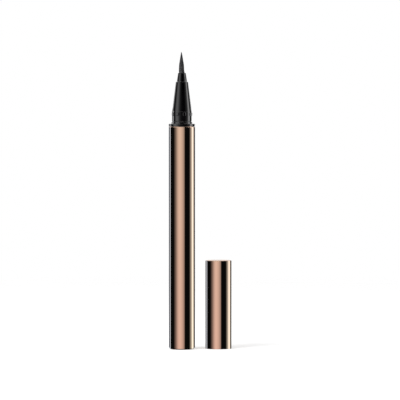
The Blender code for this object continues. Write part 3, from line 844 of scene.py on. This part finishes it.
def make_inner_cap(finish):
    flange = inner_cap_flange - INNER_CAP_RISE
    top = inner_cap_top - INNER_CAP_RISE
    ceiling = top - INNER_CAP_TOP_THICKNESS
    flange_r = liner_bore_r - RUN_GAP
    outline = [
        (0, ceiling),
        (inner_cap_bore_r, ceiling),
        (inner_cap_bore_r, INNER_CAP_MOUTH_CHAMFER),
        (inner_cap_bore_r + INNER_CAP_MOUTH_CHAMFER, 0),
        (inner_cap_r, 0),
        (inner_cap_r, flange),
        (flange_r, flange),
        (flange_r, top),
        (BOSS_RADIUS, top),
        (BOSS_RADIUS, top + BOSS_HEIGHT),
        (0, top + BOSS_HEIGHT),
    ]
    name = "inner_cap_thimble"
    mesh = turned(name, outline, FINE_SIDES, x=cap_x, y=CAP_STAND_BACK, z=INNER_CAP_RISE)
    return link_piece(name, mesh, finish, "inner_cap", "inner_cap")


def make_spring(finish):
    """Round wire wound along the CAD spring's own line."""
    climb = SPRING_LENGTH - SPRING_WIRE
    slope = climb / (math.tau * SPRING_TURNS * spring_r)
    steps = SPRING_TURNS * SPRING_TURN_POINTS
    verts = []
    faces = []
    for step in range(steps + 1):
        turn = math.tau * step / SPRING_TURN_POINTS
        outward = Vector((math.cos(turn), math.sin(turn), 0))
        height = spring_foot + SPRING_WIRE / 2 + climb * step / steps
        centre = Vector((cap_x, CAP_STAND_BACK, height)) + spring_r * outward
        along = Vector((-math.sin(turn), math.cos(turn), slope)).normalized()
        side_way = along.cross(outward)
        for side in range(SPRING_WIRE_SIDES):
            angle = math.tau * side / SPRING_WIRE_SIDES
            around = math.cos(angle) * outward + math.sin(angle) * side_way
            verts.append(tuple(centre + SPRING_WIRE / 2 * around))
    for step in range(steps):
        for side in range(SPRING_WIRE_SIDES):
            after = (side + 1) % SPRING_WIRE_SIDES
            low = step * SPRING_WIRE_SIDES
            high = low + SPRING_WIRE_SIDES
            faces.append((low + side, high + side, high + after, low + after))
    end = steps * SPRING_WIRE_SIDES
    faces.append(tuple(range(SPRING_WIRE_SIDES)))
    faces.append(tuple(end + side for side in reversed(range(SPRING_WIRE_SIDES))))
    mesh = bpy.data.meshes.new("inner_cap_coil")
    mesh.from_pydata(verts, [], faces)
    shape = bmesh.new()
    shape.from_mesh(mesh)
    bmesh.ops.recalc_face_normals(shape, faces=shape.faces)
    shape.to_mesh(mesh)
    shape.free()
    smooth(mesh)
    piece = link_piece("inner_cap_coil", mesh, finish, "cap", "inner_cap_spring")
    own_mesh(piece)
    return piece


def refinish(node, finish):
    """Gives a CAD node that stays a material of the scene's own."""
    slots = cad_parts[node].data.materials
    slots.clear()
    slots.append(finish)


def strength_at(azimuth, stops):
    """A panel's strength at an azimuth, from its (azimuth, strength) stops."""
    for (low, low_strength), (high, high_strength) in zip(stops, stops[1:]):
        if low <= azimuth <= high:
            return low_strength + (high_strength - low_strength) * (azimuth - low) / (high - low)
    return 0


def scaled(colour, share):
    return tuple(part * share for part in colour)


def far_point(azimuth, tilt, height, fillet, radius):
    """The point of a far panel that the camera sees mirrored in the metal at a height.

    Where the metal is upright, that is the panel's azimuth. The panel's ends bend over and under
    the object, as the rounded edges at the cap's top and at the barrel's base mirror them, so that
    the streaks run on there."""
    tilt = math.radians(tilt)
    dip = math.atan((CAMERA_Z - height) / CAMERA_DISTANCE)
    upright_turn = math.radians(abs(azimuth)) / 2
    shrunk = 1 - fillet / BARREL_RADIUS * (1 - math.cos(tilt))
    turn = math.asin(min(math.sin(upright_turn) / shrunk, 1))
    turn = min(turn, upright_turn + EDGE_TURN_SHARE * (math.pi / 2 - upright_turn))
    turn = math.copysign(turn, azimuth)
    outward = Vector((
        math.sin(turn) * math.cos(tilt),
        -math.cos(turn) * math.cos(tilt),
        -math.sin(tilt),
    ))
    ray = Vector((0, math.cos(dip), -math.sin(dip)))
    return Vector((0, 0, height)) + radius * (ray - 2 * ray.dot(outward) * outward)


def far_panel(name, radius, colour, foot_colour, stops):
    """A panel for the polished metal, round the object and bent over and under it.

    Its colour goes over into the foot's on the way down."""
    places = [(-tilt, CAP_LENGTH, CAP_TOP_FILLET, colour) for tilt in METAL_PANEL_TILTS[::-1]]
    places += [(0, SLEEVE_LENGTH, 0, colour), (0, 0, 0, foot_colour)]
    places += [(tilt, 0, BASE_FILLET, foot_colour) for tilt in METAL_PANEL_TILTS]
    rows = []
    for tilt, height, fillet, full in places:
        place = partial(far_point, tilt=tilt, height=height, fillet=fillet, radius=radius)
        rows.append((place, scaled(full, strength_at(abs(tilt), METAL_PANEL_FADE_SHARES))))
    panel(name, rows, stops)


def ceiling_panel():
    """An even panel high up, for the cap's flat end in raised views."""
    edge = {"height": CAP_LENGTH, "fillet": CAP_TOP_FILLET, "radius": CEILING_RADIUS}
    rows = []
    for tilt, share in CEILING_FADE_SHARES:
        rows.append((partial(far_point, tilt=tilt, **edge), scaled(WHITE, share)))
    panel("metal_ceiling_panel", rows, even_stops(CEILING_STRENGTH))


def near_point(azimuth, radius, height, piece_radius):
    """The point of a near panel that the camera sees mirrored in an upright piece of a radius."""
    turn = math.radians(azimuth)
    turn -= math.asin(piece_radius * math.sin(turn / 2) / radius)
    return Vector((radius * math.sin(turn), -radius * math.cos(turn), height))


def near_panel(name, radius, levels, stops):
    """An upright panel without a tint, close to the tip.

    Its levels are (height, radius of the piece that mirrors it there)."""
    rows = []
    for height, piece_radius in levels:
        place = partial(near_point, radius=radius, height=height, piece_radius=piece_radius)
        rows.append((place, WHITE))
    return panel(name, rows, stops)


def even_stops(strength):
    """Stops of the same strength almost all the way round."""
    return ((-FLAG_END_DEG, strength), (FLAG_END_DEG, strength))


def panel(name, rows, stops):
    """A curved studio panel about the pen, from rows of (place of an azimuth, colour).

    Its glow follows (azimuth, strength) stops. Only gloss sees it."""
    count = round((stops[-1][0] - stops[0][0]) / PANEL_STEP_DEG)
    verts = []
    faces = []
    glow = []
    for index in range(count + 1):
        azimuth = stops[0][0] + index * PANEL_STEP_DEG
        for place, colour in rows:
            verts.append(place(azimuth))
            glow.extend(scaled(colour, strength_at(azimuth, stops)))
            glow.append(1)
        for row in range(1, len(rows) if index else 0):
            after = index * len(rows) + row
            before = after - len(rows)
            faces.append((before - 1, before, after, after - 1))
    mesh = bpy.data.meshes.new(name)
    mesh.from_pydata(verts, [], faces)
    mesh.attributes.new("glow", "FLOAT_COLOR", "POINT").data.foreach_set("color", glow)
    made, tree = bare_material(name)
    attribute = tree.nodes.new("ShaderNodeAttribute")
    attribute.attribute_name = "glow"
    emission = tree.nodes.new("ShaderNodeEmission")
    output = tree.nodes.new("ShaderNodeOutputMaterial")
    tree.links.new(attribute.outputs["Color"], emission.inputs["Color"])
    tree.links.new(emission.outputs["Emission"], output.inputs["Surface"])
    made.cycles.emission_sampling = "NONE"
    mesh.materials.append(made)
    piece = placed(name, mesh)
    piece.visible_camera = False
    piece.visible_diffuse = False
    piece.visible_transmission = False
    piece.visible_shadow = False
    return piece


def bare_material(name):
    """A material with no nodes: the material and its node tree."""
    made = bpy.data.materials.new(name)
    made.use_nodes = True
    made.node_tree.nodes.clear()
    return made, made.node_tree


def panels():
    """Light panels as the photograph's metal and plastic mirror them, with dark flags behind them.

    The metal's panels stand far off. The tip's stand close, in two tiers above the barrel's end,
    because the upright neck mirrors what is level with it, and the cone what is well above it.
    A black card close to the brush's right side keeps soft light off it, and does nothing else."""
    far_panel(
        "metal_flag",
        METAL_FLAG_RADIUS,
        METAL_FLAG_COLOUR,
        METAL_FLAG_COLOUR,
        even_stops(METAL_FLAG_STRENGTH),
    )
    ends = [(TIP_PANEL_FOOT, 0), (TIP_PANEL_TOP, 0)]
    near_panel("tip_flag", TIP_FLAG_RADIUS, ends, even_stops(0))

    for name, colour, foot_colour, stops in (
        ("metal_rear_panel", METAL_REAR_COLOUR, METAL_REAR_COLOUR, METAL_REAR_STOPS),
        ("metal_front_panel", WHITE, METAL_FRONT_FOOT_COLOUR, METAL_FRONT_STOPS),
        ("metal_right_panel", METAL_RIGHT_COLOUR, METAL_RIGHT_FOOT_COLOUR, METAL_RIGHT_STOPS),
    ):
        far_panel(name, METAL_PANEL_RADIUS, colour, foot_colour, stops)
    ceiling_panel()

    levels = [(TIP_PANEL_FOOT, BARREL_RADIUS), (section_z, BARREL_RADIUS)]
    levels += [(section_z + SEAT_GAP, neck_r), (TIP_PANEL_SPLIT, neck_r)]
    near_panel("neck_panel", TIP_PANEL_RADIUS, levels, NECK_STOPS)
    levels = [(TIP_PANEL_SPLIT, cone_root_r), (TIP_PANEL_TOP, cone_tip_r)]
    near_panel("cone_panel", TIP_PANEL_RADIUS, levels, CONE_STOPS)

    ends = [(BRUSH_FLAG_FOOT, 0), (BRUSH_FLAG_TOP, 0)]
    card = near_panel("brush_flag", BRUSH_FLAG_RADIUS, ends, BRUSH_FLAG_STOPS)
    card.visible_diffuse = True
    card.visible_glossy = False


def seen_directly(tree):
    """1 for camera, glossy and transmission rays, which show the background, and 0 for the rest."""
    path = tree.nodes.new("ShaderNodeLightPath").outputs
    first = combined(tree, "MAXIMUM", path["Is Camera Ray"], path["Is Glossy Ray"])
    return combined(tree, "MAXIMUM", first, path["Is Transmission Ray"])


def studio():
    """White world, a pale floor that fades into it, and two broad lamps."""
    world = bpy.data.worlds.new("studio")
    bpy.context.scene.world = world
    world.use_nodes = True
    tree = world.node_tree
    background = tree.nodes["Background"]
    background.inputs["Color"].default_value = (*WHITE, 1)
    strength = mapped(tree, seen_directly(tree), WORLD_FILL_STRENGTH, 1, 0, 1)
    tree.links.new(strength, background.inputs["Strength"])

    shape = bmesh.new()
    bmesh.ops.create_circle(shape, cap_ends=True, segments=FLOOR_SIDES, radius=FLOOR_RADIUS)
    mesh = bpy.data.meshes.new("floor")
    shape.to_mesh(mesh)
    shape.free()
    mesh.materials.append(floor_material())
    floor = placed("floor", mesh)
    floor.visible_glossy = False

    lamp("key_lamp", KEY_LAMP_PLACE, KEY_LAMP_WATTS)
    lamp("fill_lamp", FILL_LAMP_PLACE, FILL_LAMP_WATTS)


def floor_material():
    """Matt white that thins out at its rim.

    A little glow for direct rays lets it meet the white behind it."""
    made, tree = bare_material("floor_white")
    diffuse = tree.nodes.new("ShaderNodeBsdfDiffuse")
    diffuse.inputs["Color"].default_value = (*FLOOR_COLOUR, 1)
    glow = tree.nodes.new("ShaderNodeEmission")
    level = mapped(tree, seen_directly(tree), 0, FLOOR_GLOW_STRENGTH, 0, 1)
    tree.links.new(level, glow.inputs["Strength"])
    both = tree.nodes.new("ShaderNodeAddShader")
    tree.links.new(diffuse.outputs["BSDF"], both.inputs[0])
    tree.links.new(glow.outputs["Emission"], both.inputs[1])

    where = tree.nodes.new("ShaderNodeTexCoord")
    distance = tree.nodes.new("ShaderNodeVectorMath")
    distance.operation = "LENGTH"
    tree.links.new(where.outputs["Object"], distance.inputs[0])
    fade = mapped(tree, distance.outputs["Value"], 0, 1, FLOOR_FADE_START, FLOOR_FADE_END)
    fade.node.interpolation_type = "SMOOTHSTEP"
    clear = tree.nodes.new("ShaderNodeBsdfTransparent")
    mix = tree.nodes.new("ShaderNodeMixShader")
    tree.links.new(fade, mix.inputs["Fac"])
    tree.links.new(both.outputs["Shader"], mix.inputs[1])
    tree.links.new(clear.outputs["BSDF"], mix.inputs[2])
    output = tree.nodes.new("ShaderNodeOutputMaterial")
    tree.links.new(mix.outputs["Shader"], output.inputs["Surface"])
    return made


def turn_along(piece, aim):
    """Turns a lamp or camera so that it looks along a direction, with its top up."""
    piece.rotation_euler = aim.to_track_quat("-Z", "Y").to_euler()


def lamp(name, where, watts):
    """A broad square lamp aimed at the middle of the pen. The panels stand for it in the gloss."""
    data = bpy.data.lights.new(name, "AREA")
    data.size = LAMP_SIZE
    data.energy = watts
    piece = placed(name, data)
    piece.location = where
    turn_along(piece, Vector((0, 0, CAMERA_MIDDLE_Z)) - Vector(where))
    piece.visible_glossy = False


def camera():
    data = bpy.data.cameras.new("camera")
    data.lens = CAMERA_LENS_MM
    data.sensor_width = CAMERA_SENSOR_MM
    data.clip_start = CAMERA_NEAR
    data.clip_end = CAMERA_FAR
    piece = placed("camera", data)
    piece.location = (CAMERA_X, -CAMERA_DISTANCE, CAMERA_Z)
    turn_along(piece, Vector((0, CAMERA_DISTANCE, CAMERA_MIDDLE_Z - CAMERA_Z)))
    bpy.context.scene.camera = piece


metal = rose_gold_metal()
plastic = black_gloss_plastic()
natural = natural_plastic()
bright_steel = steel()

make_barrel(metal)
make_tank(plastic)
make_section(plastic)
make_holder(plastic)
make_brush(bristle_fibre())
make_cap_cover(metal)
make_cap_lining(natural)
make_inner_cap(natural)
make_spring(bright_steel)
refinish("mixing_ball", bright_steel)
refinish("section_seal_ring", seal_rubber())
refinish("ink_collector", natural)
refinish("feed_rod", porous_fibre())
refinish("brush_retainer", natural)
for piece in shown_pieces():
    piece.visible_glossy = False

camera()
studio()
panels()
bpy.context.scene.view_settings.view_transform = "Standard"
